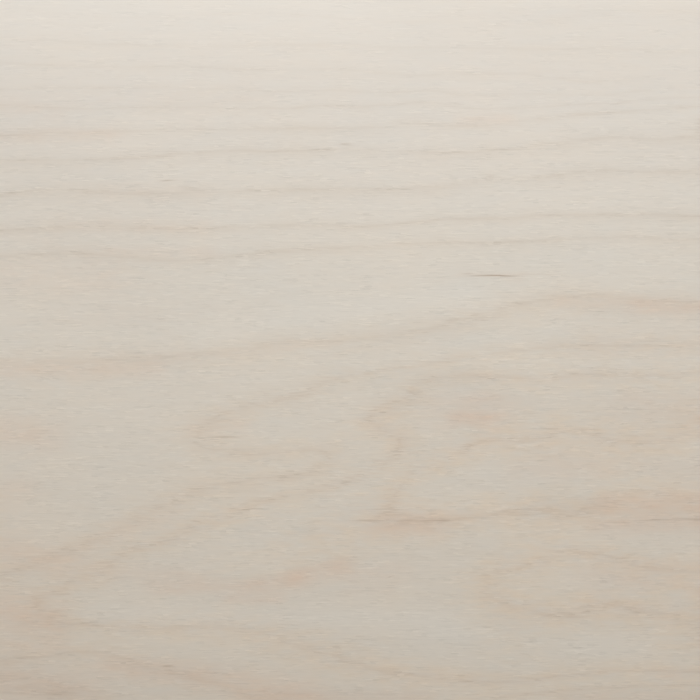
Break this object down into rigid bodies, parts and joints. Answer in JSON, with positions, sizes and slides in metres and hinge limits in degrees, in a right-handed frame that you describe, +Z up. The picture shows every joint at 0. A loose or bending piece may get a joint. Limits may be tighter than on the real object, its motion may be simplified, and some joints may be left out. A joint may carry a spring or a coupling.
{
  "type": "plywood sheet",
  "caption": "Flat rectangular sheet of glued cross-laid veneers, with a pale sanded face of fine long grain and soft peeled-ring figure, and square sawn edges.",
  "frame": {"origin": "centre of the sheet's underside, where it rests on the floor", "axes": "+X along the sheet's length and the grain of its face veneer, +Y across its width, +Z up through its thickness"},
  "size_m": [1.22, 0.61, 0.018],
  "materials": {
    "birch_plywood": "matte"
  },
  "bodies": {
    "root": {"plywood_sheet": "birch_plywood"}
  },
  "joints": []
}
